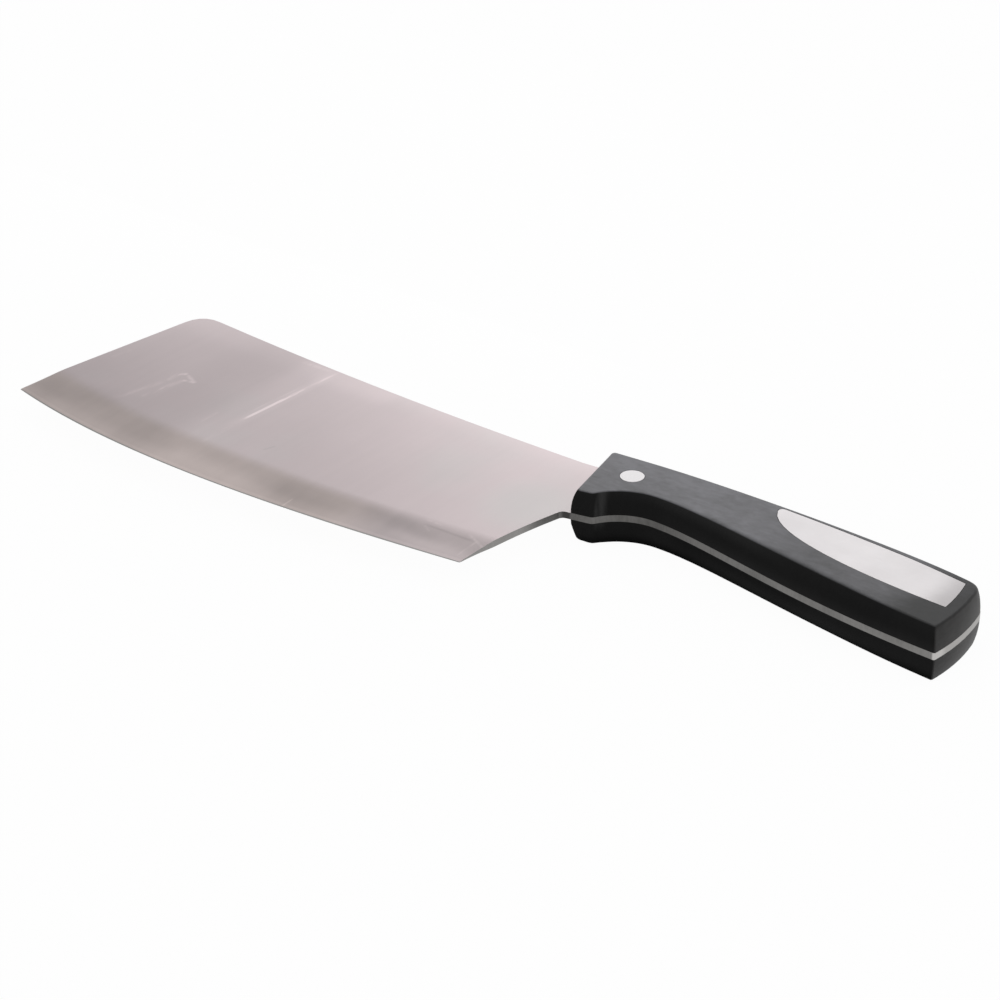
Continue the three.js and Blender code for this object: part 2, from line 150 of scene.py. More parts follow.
# Marks: millimetres from the tip and above the lowest edge, lean in degrees from straight across
# the blade, length and width in millimetres, strength
LIGHT_MARKS = (
    (69.8, 47.0, 2.5, 30.0, 0.95, 0.34),
    (70.2, 56.0, 2.5, 46.0, 0.85, 0.22),
    (68.0, 50.0, 3.5, 24.0, 0.5, 0.08),
    (63.0, 75.4, 88.0, 14.0, 1.5, 0.08),
    (60.0, 29.0, -2.0, 10.0, 1.0, 0.07),
    (69.5, 22.5, 0.0, 16.0, 1.4, 0.07),
    (30.6, 30.0, 12.5, 21.0, 1.9, 0.09),
    (32.7, 42.6, -3.0, 7.0, 1.4, 0.13),
    (33.7, 46.0, 52.0, 4.0, 1.3, 0.18),
    (37.6, 45.2, 115.0, 8.5, 1.2, 0.24),
    (38.6, 43.2, 80.0, 5.0, 1.1, 0.20),
    (35.9, 38.5, 8.0, 11.0, 1.8, 0.12),
    (35.0, 31.0, 9.0, 10.0, 1.6, 0.08),
    (8.3, 45.0, 8.0, 9.0, 1.0, 0.10),
    (113.6, 3.6, 0.0, 6.0, 0.6, 0.18),
    (171.6, 18.0, 114.0, 10.0, 0.8, 0.12),
    (171.5, 13.8, 1.0, 10.0, 0.6, 0.12),
    (155.6, 15.6, 120.0, 4.0, 0.6, 0.12),
    (155.8, 19.2, 90.0, 7.0, 0.9, 0.08),
)
SHEENS = (
    (69.8, 50.0, 2.5, 52.0, 3.4, 0.07),
    (82.0, 72.0, 88.0, 36.0, 9.0, 0.06),
    (84.0, 6.2, 92.0, 46.0, 5.5, 0.09),
    (170.0, 10.0, 97.0, 16.0, 5.0, 0.05),
    (156.5, 9.5, 95.0, 20.0, 4.5, 0.08),
)
DARK_MARKS = (
    (162.5, 17.3, 88.0, 20.0, 0.9, 0.10),
    (146.0, 13.5, 96.0, 34.0, 5.0, 0.08),
    (112.0, 8.0, 93.0, 34.0, 8.0, 0.06),
    (16.0, 17.0, 76.0, 44.0, 9.0, 0.05),
    (87.9, 24.9, 20.0, 5.0, 0.8, 0.07),
)
# A mark keeps its strength this far along its length from its middle, and has faded at its ends
MARK_FULL = 0.3
MARK_END = 0.5
RAGGED_FADE = (-0.25, 0.15)

# Cut edges of the blade and tang, in shares between dark and bright steel: a low base of painted shade for
# the dim surroundings they reflect, a painted highlight at the belly corner of the butt and painted shade in
# the notch
SHEARED_TONE = 0.132
SHEARED_GRAIN = 0.18
SHEARED_CLOUD = 0.26
SHEARED_ROUGHNESS = 0.40
SHEARED_ROUGHNESS_GRAIN = 0.2
TANG_RUB = 0.183
BUTT_CUT_FADE = (0.3 * MM, 1.0 * MM)
BUTT_CUT = 0.40
SPINE_CUT_FADE = (UPPER_HIGH.y - 12 * MM, UPPER_HIGH.y - 8 * MM)
SPINE_CUT = 0.55
TIP_CUT_FADE = (TIP_X + 12 * MM, TIP_X + 18 * MM)
TIP_CUT = 0.55
CORNER_HIGHLIGHT_FADE = (BELLY_Y + 2 * MM, BELLY_Y + 6 * MM)
CORNER_PAINTED_HIGHLIGHT = 0.85
CHOIL_BACK_FADE = (FRONT_X + 3.6 * MM, FRONT_X + 4.4 * MM)
CHOIL_CUT_FADE = (EDGE_Y + 30 * MM, EDGE_Y + 41.5 * MM)
CHOIL_CUT = (0.367, 0.02)
CHOIL_GUARD_FADE = (EDGE_Y + 41.5 * MM, EDGE_Y + 46.5 * MM)
CHOIL_GUARD = 0.09
NOTCH_X = FRONT_X + 4.8 * MM
NOTCH_FADE = (0.8 * MM, 1.8 * MM)
NOTCH_PAINTED_SHADE = -0.19

# Black plastic: where its faces, walls and butt ends meet
FACE_RIM = 0.35 * MM
LOWER_FACE_RIM = 0.15 * MM
WALL_FULLNESS = 2.6
BUTT_RADIUS = 66 * MM
BUTT_APEX_Y = UPPER_HIGH.y - 24.64 * MM
BUTT_CROWN = 1.05 * MM
BUTT_BORDER = 0.45 * MM
BUTT_SPINE_FADE = (TOP_Y - 10 * MM, TOP_Y - 4.5 * MM)
BUTT_SPINE_ROUND = 4.0 * MM

# Sanded faces, with painted shade from the palm to the butt and towards the belly side
FACE_TONE = 0.78
FACE_GRAIN = 0.6
FACE_SPECKS = 0.95
FACE_CLOUD = 0.9
FACE_ROUGHNESS = 0.42
FACE_ROUGHNESS_MARKS = 0.12
FACE_GLOSS = 0.80
FADED_FACE_GLOSS = 0.48
FADED_FACE_PAINTED_SHADE = -0.74
FADED_FACE_UNEVEN = 0.4
SANDING_LEAN = math.radians(-12)
SANDING_DEPTH = 0.012 * MM
SANDING_RELIEF = 0.3
PALM_FADE = (FRONT_X + 54 * MM, FRONT_X + 72 * MM)
PALM_DIMMING = 0.31
BUTT_FADE = (FRONT_X + 105 * MM, FRONT_X + 121 * MM)
BUTT_DIMMING = 0.69
BELLY_SIDE_FADE = (TOP_Y - 22 * MM, TOP_Y - 4 * MM)
BELLY_SIDE_PAINTED_SHADE = (-0.10, 0.05)

# Buffed walls, with heights counted from the middle of the blade, and their painted highlights and painted
# shades
WALL_TONE = 0.38
WALL_GRAIN = 0.15
WALL_CLOUD = 0.25
WALL_ROUGHNESS = 0.45
WALL_GLOSS_FADE = (HANDLE_FOOT, HANDLE_FOOT + 5 * MM)
WALL_GLOSS = 0.015
RIM_FADE = (HANDLE_HALF - 3.5 * MM, HANDLE_HALF - FACE_RIM)
RIM_PALM_X = FRONT_X + 48 * MM
RIM_PALM_FADE = (10 * MM, 34 * MM)
RIM_PAINTED_HIGHLIGHT = (0.45, 0.08)
TANG_SIDE_FADE = (BLADE_HALF, BLADE_HALF + 3.5 * MM)
TANG_SIDE_X_FADE = (FRONT_X + 30 * MM, FRONT_X + 60 * MM)
TANG_SIDE_PAINTED_HIGHLIGHT = 0.25
FOOT_FADE = (-HANDLE_HALF, 4 * MM - HANDLE_HALF)
FOOT_PAINTED_SHADE = -0.25
UNDER_PALM_X = FRONT_X + 58 * MM
UNDER_PALM_FADE = (14 * MM, 36 * MM)
UNDER_PALM_PAINTED_SHADE = -0.28

# Painted highlight on the wall behind the guard
GUARD_HIGHLIGHT_X = FRONT_X + 13.3 * MM
GUARD_HIGHLIGHT_START = (-0.4 * MM, 0.2 * MM)
GUARD_HIGHLIGHT_END = (0.6 * MM, 2.6 * MM)
GUARD_HIGHLIGHT_SPINE_FADE = (TOP_Y - 16 * MM, TOP_Y - 12 * MM)
GUARD_HIGHLIGHT_FOOT_FADE = (-4.5 * MM, 1.5 * MM)
GUARD_HIGHLIGHT_STRENGTH = 0.62
GUARD_HIGHLIGHT_STREAKS = 1.6

# Scuffed butt ends
BUTT_GLOSS = 0.14
BUTT_ACROSS = (0.3, 1.0)
BUTT_GRAIN = 0.5
BUTT_CLOUD = 0.7

# Plates and rivets
PLATE_TONE = 0.70
PLATE_CLOUD = 0.7
PLATE_GRAIN = 0.15
PLATE_END_FADE = (BUTT_X - 15 * MM, BUTT_X - 5 * MM)
PLATE_END_SHADE = -0.75
PLATE_ROUGHNESS = 0.23
PLATE_ROUGHNESS_CLOUD = 0.05
PLATE_ROUGHNESS_GRAIN = 0.03
RIVET_TONE = 0.5
RIVET_CLOUD = 0.4
RIVET_GRAIN = 0.2
RIVET_ROUGHNESS = 0.25
RIVET_ROUGHNESS_CLOUD = 0.03

# Small roundings that catch the light
BLADE_EDGE_ROUNDING = 0.12 * MM
CHOIL_ROUNDING = 0.25 * MM
CHOIL_FROM_X = FRONT_X - 3.0 * MM
CHOIL_TO_X = FRONT_X + 3.8 * MM
CHOIL_TOP = TOP_Y - 27 * MM
SCALE_EDGE_ROUNDING = 0.08 * MM
PLATE_EDGE_ROUNDING = 0.12 * MM
RIVET_EDGE_ROUNDING = 0.12 * MM

# Lower front corner of the guard, buffed rounder
GUARD_CORNER = Vector((FRONT_X + 7.5 * MM, TOP_Y - 26.5 * MM, 0.0))
GUARD_REACH = 8.5 * MM
GUARD_EASE = Vector((0.1, 0.1, 0.5)) * MM
GUARD_EASE_POWER = 1.2
GUARD_BUFF_TOP = 4.5 * MM
GUARD_BUFF_PASSES = 4
GUARD_BUFF_SHARE = 0.5

# Mesh work
KEEN_HALF = 0.04 * MM
EDGE_FIT_TOP = EDGE_Y + 12 * MM
EDGE_FIT_POWER = 3
MERGE_DISTANCE = 0.002 * MM
FLAT_ANGLE = math.radians(0.05)
LEVEL_NORMAL = 0.999999
CUT_EDGE_NORMAL = 0.6
FULL_THICKNESS = 0.93
SMOOTH_ANGLE = math.radians(32)
CORNER_ANGLE = math.radians(50)
ROUNDING_SEGMENTS = 2
SHADING_WEIGHT = 100


def cutting_edge_curve():
    """Cubic in x that follows the cutting edge of the blade, highest power first."""
    places = [v.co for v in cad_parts["blade"].data.vertices]
    keen = [p for p in places if abs(p.z - BLADE_MIDDLE) < KEEN_HALF and p.x < FRONT_X]
    edge = [p for p in keen if p.y < EDGE_FIT_TOP]
    fitted = np.polyfit([p.x for p in edge], [p.y for p in edge], EDGE_FIT_POWER)
    return [float(term) for term in fitted]


EDGE_CURVE = cutting_edge_curve()


class Finish:
    """A procedural material being put together: its node tree, its shader and its coordinates."""

    def __init__(self, name):
        self.material = bpy.data.materials.new(name)
        self.material.use_nodes = True
        self.tree = self.material.node_tree
        self.shader = self.tree.nodes["Principled BSDF"]
        self.place = self.node("ShaderNodeTexCoord", {}).outputs["Object"]
        split = self.node("ShaderNodeSeparateXYZ", {"Vector": self.place})
        self.x, self.y, self.z = split.outputs

    def node(self, kind, inputs, **settings):
        made = self.tree.nodes.new(kind)
        for setting, value in settings.items():
            setattr(made, setting, value)
        for socket, value in inputs.items():
            self.feed(made.inputs[socket], value)
        return made

    def feed(self, socket, value):
        if isinstance(value, bpy.types.NodeSocket):
            self.tree.links.new(value, socket)
        else:
            socket.default_value = value

    def set(self, **sockets):
        for name, value in sockets.items():
            self.feed(self.shader.inputs[name.replace("_", " ")], value)

    def maths(self, operation, first, second=0.0):
        return self.node("ShaderNodeMath", {0: first, 1: second}, operation=operation).outputs[0]

    def add(self, *values):
        total = values[0]
        for value in values[1:]:
            total = self.maths("ADD", total, value)
        return total

    def times(self, *values):
        product = values[0]
        for value in values[1:]:
            product = self.maths("MULTIPLY", product, value)
        return product

    def away(self, value, centre):
        return self.maths("ABSOLUTE", self.maths("SUBTRACT", value, centre))

    def ramp(self, value, start, end, low=0.0, high=1.0):
        inputs = {"Value": value, "From Min": start, "From Max": end, "To Min": low, "To Max": high}
        return self.node("ShaderNodeMapRange", inputs, interpolation_type="SMOOTHSTEP").outputs[0]

    def noise(self, scale, stretch=(1, 1, 1), turn=0.0, detail=3.0, roughness=0.5, shift=(0, 0, 0)):
        """Noise centred on zero, from about -0.5 to 0.5."""
        mapping = {"Vector": self.place, "Location": shift, "Rotation": (0, 0, turn), "Scale": stretch}
        spread = self.node("ShaderNodeMapping", mapping).outputs[0]
        inputs = {"Vector": spread, "Scale": scale, "Detail": detail, "Roughness": roughness}
        cloud = self.node("ShaderNodeTexNoise", inputs).outputs[0]
        return self.maths("SUBTRACT", cloud, 0.5)

    def mix(self, factor, first, second):
        """A colour between two colours."""
        made = self.node("ShaderNodeMix", {0: factor, 6: first, 7: second}, data_type="RGBA")
        return made.outputs[2]

    def blend(self, factor, first, second):
        """A number between two numbers."""
        made = self.node("ShaderNodeMix", {0: factor, 2: first, 3: second}, data_type="FLOAT")
        return made.outputs[0]

    def bump(self, height, depth, strength):
        made = self.node("ShaderNodeBump", {"Height": height, "Distance": depth, "Strength": strength})
        return made.outputs[0]


def grey(level, red=1.0, green=1.0, blue=1.0):
    return (level * red, level * green, level * blue, 1.0)


def edge_height(f):
    """Height of a point of the blade above its curved cutting edge."""
    curve = f.times(f.x, EDGE_CURVE[0])
    for term in EDGE_CURVE[1:-1]:
        curve = f.times(f.x, f.add(curve, term))
    return f.maths("SUBTRACT", f.y, f.add(curve, EDGE_CURVE[-1]))


def mark_place(f, from_tip, above_edge, lean, length, width):
    """Where a mark lies: one along its line, fading to nought beside it and at its ends."""
    centre = (TIP_X + from_tip * MM, EDGE_Y + above_edge * MM, 0.0)
    beside = f.node("ShaderNodeVectorMath", {0: f.place, 1: centre}, operation="SUBTRACT").outputs[0]
    turned = f.node("ShaderNodeVectorRotate", {"Vector": beside, "Angle": math.radians(lean)},
                    rotation_type="Z_AXIS").outputs[0]
    across, along, _ = f.node("ShaderNodeSeparateXYZ", {"Vector": turned}).outputs
    line = f.ramp(f.maths("ABSOLUTE", across), 0.0, width * MM, 1.0, 0.0)
    span = (MARK_FULL * length * MM, MARK_END * length * MM)
    return f.times(line, f.ramp(f.maths("ABSOLUTE", along), *span, 1.0, 0.0))


def marks_of(f, marks):
    """All the marks of one kind, each with its own strength."""
    return f.add(*(f.times(mark_place(f, *place), strength) for *place, strength in marks))


def grinding(f, bevel):
    """Unevenness of the ground steel as a share of its tone: clouds, patches and fine lines across."""
    cloud = f.noise(scale=24)
    patches = f.noise(scale=75, stretch=(1.0, 0.6, 1.0))
    lines = f.noise(scale=420, stretch=(1.0, 0.03, 1.0), turn=GRIND_LEAN, detail=2.0)
    uneven = f.add(
        f.times(cloud, FLANK_CLOUD),
        f.times(patches, f.add(FLANK_PATCHES, f.times(bevel, BEVEL_PATCHES))),
        f.times(lines, FLANK_LINES),
    )
    return uneven, lines


def bevel_painted_light(f, height, bevel):
    """Painted light along the bevel: painted shade in its hollow and towards the heel, with a painted
    highlight beside the edge.
    """
    # Painted shade in the hollow of the bevel and towards the heel
    hollow = f.ramp(height, *HOLLOW_FADE, *HOLLOW_PAINTED_SHADE)
    heelward = f.ramp(f.x, *HEELWARD_FADE, 0.0, HEELWARD_PAINTED_SHADE)
    shade = f.times(f.add(hollow, heelward), bevel)
    # Painted highlight beside the cutting edge
    strip = f.ramp(f.away(height, HONED_STRIP), *HONED_FADE, HONED_PAINTED_HIGHLIGHT, 0.0)
    return f.maths("SUBTRACT", strip, shade)


def flank_tone_and_painted_light(f, bevel):
    """Broad tone of the flanks: a painted highlight along the spine, dimmer before the belt mark, and
    painted shade low at the tip with painted light on the bevel there.
    """
    belt = f.ramp(f.x, *BELT_FADE, BELT_SHADE, 0.0)
    dip = f.ramp(f.away(f.x, BELT_DIP_X), *BELT_DIP_FADE, BELT_DIP_SHADE, 0.0)
    # Painted highlight along the spine
    painted_highlight = f.ramp(f.y, *SPINE_HIGHLIGHT_FADE, 0.0, SPINE_PAINTED_HIGHLIGHT)
    # Painted shade low at the tip, with painted light on the bevel there
    towards_tip = f.ramp(f.x, *TIP_FADE, 1.0, 0.0)
    low_down = f.ramp(f.y, *TIP_LOW_FADE, *TIP_LOW_PAINTED_SHADE)
    tip_painted_light = f.times(towards_tip, f.add(low_down, f.times(bevel, TIP_BEVEL_PAINTED_LIGHT)))
    return f.add(belt, dip, painted_highlight, tip_painted_light)


def bevel_share(f, height):
    """One on the bevel and nought on the flat above it, with a soft shoulder between."""
    swell = f.ramp(f.away(f.x, SWELL_X), *SWELL_FADE, BEVEL_SWELL, 0.0)
    shoulder = f.add(f.ramp(f.x, TIP_X, FRONT_X, BEVEL_AT_TIP, BEVEL_AT_HEEL), swell)
    above = f.maths("SUBTRACT", height, shoulder)
    return f.ramp(above, -BEVEL_SOFTNESS, BEVEL_SOFTNESS, 1.0, 0.0)


def steel_tint(f, bevel):
    """Warm on the bevel, rosy on the flats, and greyer beside the handle where the steel shows wear, and at
    the heel.
    """
    from_worn = f.node("ShaderNodeVectorMath", {0: f.place, 1: WORN_CENTRE}, operation="DISTANCE")
    faded = f.ramp(from_worn.outputs["Value"], *WORN_FADE, WORN_STRENGTH, 0.0)
    cloud = f.noise(scale=30, detail=2.0, shift=GREY_CLOUD_SHIFT)
    clouded = f.ramp(cloud, *GREY_CLOUD_FADE, 0.0, GREY_CLOUD_STRENGTH)
    flat = f.mix(f.maths("MAXIMUM", faded, clouded), FLAT_TINT, WORN_TINT)
    heel = f.ramp(f.x, *HEEL_TINT_FADE)
    return f.mix(bevel, flat, f.mix(heel, BEVEL_TINT, HEEL_TINT))


def ground_steel():
    """Blade flanks: satin steel with fine grinding lines across the blade, rubbed and scratched in use."""
    f = Finish("ground_steel")
    height = edge_height(f)
    bevel = bevel_share(f, height)
    uneven, lines = grinding(f, bevel)
    ragged = f.ramp(f.noise(scale=900, stretch=(1.0, 0.15, 1.0)), *RAGGED_FADE)
    light_marks = f.times(marks_of(f, LIGHT_MARKS), ragged)
    sheens = f.maths("SUBTRACT", marks_of(f, SHEENS), marks_of(f, DARK_MARKS))
    share = f.add(1.0, uneven, flank_tone_and_painted_light(f, bevel), bevel_painted_light(f, height, bevel), light_marks, sheens)
    ground = f.mix(f.times(share, STEEL_LEVEL), NO_LIGHT, steel_tint(f, bevel))
    keen = f.ramp(height, *EDGE_LINE_FADE, 1.0, 0.0)
    relief = f.add(lines, f.times(light_marks, MARK_RELIEF))
    f.set(
        Base_Color=f.mix(keen, ground, EDGE_STEEL),
        Metallic=1.0,
        Roughness=f.add(STEEL_ROUGHNESS, f.times(lines, STEEL_ROUGHNESS_LINES)),
        Anisotropic=STEEL_BRUSHING,
        Normal=f.bump(relief, GRIND_DEPTH, GRIND_RELIEF),
        Tangent=f.node("ShaderNodeTangent", {}, direction_type="UV_MAP", uv_map=GRIND_MAP).outputs[0],
    )
    return f.material


def from_butt(f):
    """How far a point of the handle lies in front of the arc of the butt."""
    aside = f.maths("SUBTRACT", f.y, BUTT_APEX_Y)
    rise = f.maths("SQRT", f.maths("SUBTRACT", BUTT_RADIUS ** 2, f.times(aside, aside)))
    return f.maths("SUBTRACT", f.add(rise, BUTT_X - BUTT_RADIUS), f.x)


def choil_tone(f):
    """Tone of the cut edge in the choil: bright at the heel, dark in its bend, paler at the guard."""
    before_guard = f.ramp(f.x, *CHOIL_BACK_FADE, 1.0, 0.0)
    at_guard = f.ramp(f.y, *CHOIL_GUARD_FADE, 0.0, CHOIL_GUARD)
    return f.times(before_guard, f.add(f.ramp(f.y, *CHOIL_CUT_FADE, *CHOIL_CUT), at_guard))


def sheared_steel():
    """Cut edges of the blade and tang: painted shade along the belly, brighter at the heel, spine and butt,
    with a painted highlight at the butt's belly corner.
    """
    f = Finish("sheared_steel")
    grain = f.noise(scale=1500, stretch=(1.0, 1.0, 0.2))
    cloud = f.noise(scale=90)
    rubbed = f.ramp(f.x, FRONT_X, BUTT_X, 0.0, TANG_RUB)
    butt = f.ramp(from_butt(f), *BUTT_CUT_FADE, BUTT_CUT, 0.0)
    spine = f.ramp(f.y, *SPINE_CUT_FADE, 0.0, SPINE_CUT)
    tip = f.ramp(f.x, *TIP_CUT_FADE, TIP_CUT, 0.0)
    # Painted highlight on the corner where the belly meets the butt
    corner = f.times(butt, f.ramp(f.y, *CORNER_HIGHLIGHT_FADE, CORNER_PAINTED_HIGHLIGHT, 0.0))
    # Painted shade in the notch at the top of the choil
    notch = f.ramp(f.away(f.x, NOTCH_X), *NOTCH_FADE, NOTCH_PAINTED_SHADE, 0.0)
    cut = f.maths("MAXIMUM", f.maths("MAXIMUM", spine, tip), choil_tone(f))
    place = f.maths("MAXIMUM", f.add(rubbed, butt, corner), cut)
    # The low base tone is painted shade for the dim surroundings the cut edges reflect
    tone = f.add(SHEARED_TONE, f.times(grain, SHEARED_GRAIN), f.times(cloud, SHEARED_CLOUD), place, notch)
    dark_cut = grey(0.05, 1.0, 0.97, 0.93)
    bright = grey(0.50, 1.0, 0.975, 0.95)
    f.set(
        Base_Color=f.mix(tone, dark_cut, bright),
        Metallic=1.0,
        Roughness=f.add(SHEARED_ROUGHNESS, f.times(grain, SHEARED_ROUGHNESS_GRAIN)),
    )
    return f.material


def scale_black():
    """Black plastic of the scales: sanded outer faces, buffed walls and a scuffed butt end."""
    f = Finish("scale_black")
    outward = f.away(f.z, BLADE_MIDDLE)
    rim = f.ramp(f.z, BLADE_LOW.z, BLADE_HIGH.z, HANDLE_HALF - LOWER_FACE_RIM, HANDLE_HALF - FACE_RIM)
    face = f.ramp(outward, rim, HANDLE_HALF)
    lean = f.times(f.maths("POWER", f.times(outward, 1 / HANDLE_HALF), WALL_FULLNESS), BUTT_CROWN)
    rounded = f.ramp(f.y, *BUTT_SPINE_FADE, 0.0, BUTT_SPINE_ROUND)
    inside = f.maths("SUBTRACT", from_butt(f), f.add(lean, rounded))
    butt = f.ramp(inside, 0.0, BUTT_BORDER, 1.0, 0.0)
    sanded, faded, marks = sanded_face(f)
    wall = f.mix(butt, buffed_wall(f), scuffed_butt(f))
    wall_gloss = f.blend(butt, f.ramp(f.z, *WALL_GLOSS_FADE, 0.0, WALL_GLOSS), BUTT_GLOSS)
    face_gloss = f.blend(faded, FACE_GLOSS, FADED_FACE_GLOSS)
    face_roughness = f.add(FACE_ROUGHNESS, f.times(marks, FACE_ROUGHNESS_MARKS))
    f.set(
        Base_Color=f.mix(face, wall, sanded),
        Roughness=f.blend(face, WALL_ROUGHNESS, face_roughness),
        Specular_IOR_Level=f.blend(face, wall_gloss, face_gloss),
        Normal=f.bump(f.times(marks, face), SANDING_DEPTH, SANDING_RELIEF),
    )
    return f.material


def sanded_face(f):
    """Outer faces: sanded flush with the steel let in, with painted shade from the palm to the butt and
    towards the belly.
    """
    grain = f.noise(scale=800, stretch=(0.3, 1.0, 1.0), turn=SANDING_LEAN)
    specks = f.noise(scale=380, stretch=(0.7, 1.0, 1.0), roughness=0.6)
    cloud = f.noise(scale=85, stretch=(0.6, 1.0, 1.0), turn=SANDING_LEAN, detail=4.0)
    # Painted shade darkening the faces from the palm to the butt, where they also gloss less
    faded = f.add(f.ramp(f.x, *PALM_FADE, 0.0, PALM_DIMMING), f.ramp(f.x, *BUTT_FADE, 0.0, BUTT_DIMMING))
    # Painted shade towards the belly side and painted light towards the spine
    belly_painted_shade = f.ramp(f.y, *BELLY_SIDE_FADE, *BELLY_SIDE_PAINTED_SHADE)
    uneven = f.add(f.times(grain, FACE_GRAIN), f.times(specks, FACE_SPECKS), f.times(cloud, FACE_CLOUD))
    evened = f.times(uneven, f.blend(faded, 1.0, FADED_FACE_UNEVEN))
    tone = f.add(FACE_TONE, f.times(faded, FADED_FACE_PAINTED_SHADE), belly_painted_shade, evened)
    black = f.mix(tone, grey(0.007, 1.0, 0.99, 1.1), grey(0.137, 1.0, 0.99, 1.1))
    return black, faded, f.add(grain, specks)


def buffed_wall(f):
    """Walls: deep black, with painted highlights below the upper rim, beside the tang and behind the upper
    guard, and painted shade at the foot and under the palm.
    """
    grain = f.noise(scale=900, stretch=(1.0, 1.0, 0.25))
    cloud = f.noise(scale=60)
    raised = f.maths("SUBTRACT", f.z, BLADE_MIDDLE)
    # Painted highlight below the upper rim, strongest at the palm
    palm = f.ramp(f.away(f.x, RIM_PALM_X), *RIM_PALM_FADE, *RIM_PAINTED_HIGHLIGHT)
    rim = f.ramp(raised, *RIM_FADE, 0.0, palm)
    # Painted highlight on the upper wall just above the tang
    beside_tang = f.ramp(raised, *TANG_SIDE_FADE, TANG_SIDE_PAINTED_HIGHLIGHT, 0.0)
    upper = f.ramp(raised, 0.0, BLADE_HALF)
    painted_highlight = f.times(beside_tang, upper, f.ramp(f.x, *TANG_SIDE_X_FADE))
    # Painted shade at the foot of the lower wall and under the palm
    foot = f.ramp(raised, *FOOT_FADE, FOOT_PAINTED_SHADE, 0.0)
    below_palm = f.ramp(f.away(f.x, UNDER_PALM_X), *UNDER_PALM_FADE, UNDER_PALM_PAINTED_SHADE, 0.0)
    under_palm = f.times(below_palm, f.maths("SUBTRACT", 1.0, upper))
    uneven = f.add(f.times(grain, WALL_GRAIN), f.times(cloud, WALL_CLOUD))
    tone = f.add(WALL_TONE, uneven, rim, painted_highlight, foot, under_palm)
    black = f.mix(tone, grey(0.004), grey(0.020))
    return f.mix(painted_guard_highlight(f, raised), black, grey(0.040))


def painted_guard_highlight(f, raised):
    """Where the painted highlight lies on the wall behind the guard, streaked from the rim to below the
    tang.
    """
    behind = f.maths("SUBTRACT", f.x, GUARD_HIGHLIGHT_X)
    begins = f.ramp(behind, *GUARD_HIGHLIGHT_START)
    ends = f.ramp(behind, *GUARD_HIGHLIGHT_END, 1.0, 0.0)
    below_spine = f.ramp(f.y, *GUARD_HIGHLIGHT_SPINE_FADE, 1.0, 0.0)
    upper = f.ramp(raised, *GUARD_HIGHLIGHT_FOOT_FADE)
    streaks = f.noise(scale=620, stretch=(1.0, 1.0, 0.06), detail=2.0)
    strength = f.add(GUARD_HIGHLIGHT_STRENGTH, f.times(streaks, GUARD_HIGHLIGHT_STREAKS))
    return f.times(begins, ends, below_spine, upper, strength)


def scuffed_butt(f):
    """Butt ends: ground to the curve of the tang and left a little scuffed."""
    grain = f.noise(scale=1100, stretch=(1.0, 0.3, 1.0), detail=4.0)
    cloud = f.noise(scale=130, detail=4.0)
    across = f.ramp(f.y, BELLY_Y, TOP_Y, *BUTT_ACROSS)
    tone = f.add(across, f.times(grain, BUTT_GRAIN), f.times(cloud, BUTT_CLOUD))
    return f.mix(tone, grey(0.012, 1.03, 1.0, 0.99), grey(0.048, 1.03, 1.0, 0.99))


def satin_plate():
    """Let-in plates: pale satin steel, faintly clouded and darker at the butt."""
    f = Finish("satin_plate")
    cloud = f.noise(scale=55, detail=5.0, roughness=0.55)
    grain = f.noise(scale=1800, stretch=(0.1, 1.0, 1.0))
    end = f.ramp(f.x, *PLATE_END_FADE, 0.0, PLATE_END_SHADE)
    tone = f.add(PLATE_TONE, f.times(cloud, PLATE_CLOUD), f.times(grain, PLATE_GRAIN), end)
    uneven = f.add(f.times(cloud, PLATE_ROUGHNESS_CLOUD), f.times(grain, PLATE_ROUGHNESS_GRAIN))
    f.set(
        Base_Color=f.mix(tone, grey(0.58, 1.0, 0.955, 0.965), grey(0.88, 1.0, 0.965, 0.975)),
        Metallic=1.0,
        Roughness=f.add(PLATE_ROUGHNESS, uneven),
    )
    return f.material


def polished_rivet():
    """Rivet heads, ground flush and polished."""
    f = Finish("polished_rivet")
    grain = f.noise(scale=2500, stretch=(0.15, 1.0, 1.0), detail=2.0)
    cloud = f.noise(scale=260)
    tone = f.add(RIVET_TONE, f.times(grain, RIVET_GRAIN), f.times(cloud, RIVET_CLOUD))
    f.set(
        Base_Color=f.mix(tone, grey(0.76, 1.0, 0.975, 0.985), grey(0.84, 1.0, 0.975, 0.985)),
        Metallic=1.0,
        Roughness=f.add(RIVET_ROUGHNESS, f.times(cloud, RIVET_ROUGHNESS_CLOUD)),
    )
    return f.material


def merged_copy(node):
    """A working copy of a solid, with its corners merged and its flat faces made whole."""
    shape = bmesh.new()
    shape.from_mesh(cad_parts[node].data)
    bmesh.ops.remove_doubles(shape, verts=shape.verts, dist=MERGE_DISTANCE)
    level = [e for e in shape.edges if all(abs(face.normal.z) > LEVEL_NORMAL for face in e.link_faces)]
    bmesh.ops.dissolve_limit(shape, angle_limit=FLAT_ANGLE, verts=[], edges=level)
    return shape


def round_edges(shape, edges, width):
    """Rounds edges over by a small width."""
    bmesh.ops.bevel(
        shape,
        geom=edges,
        offset=width,
        offset_type="OFFSET",
        affect="EDGES",
        segments=ROUNDING_SEGMENTS,
        profile=0.5,
        material=-1,
        clamp_overlap=True,
    )


def corner_edges(shape):
    """Edges that turn a real corner."""
    return [e for e in shape.edges if e.calc_face_angle(0.0) > CORNER_ANGLE]


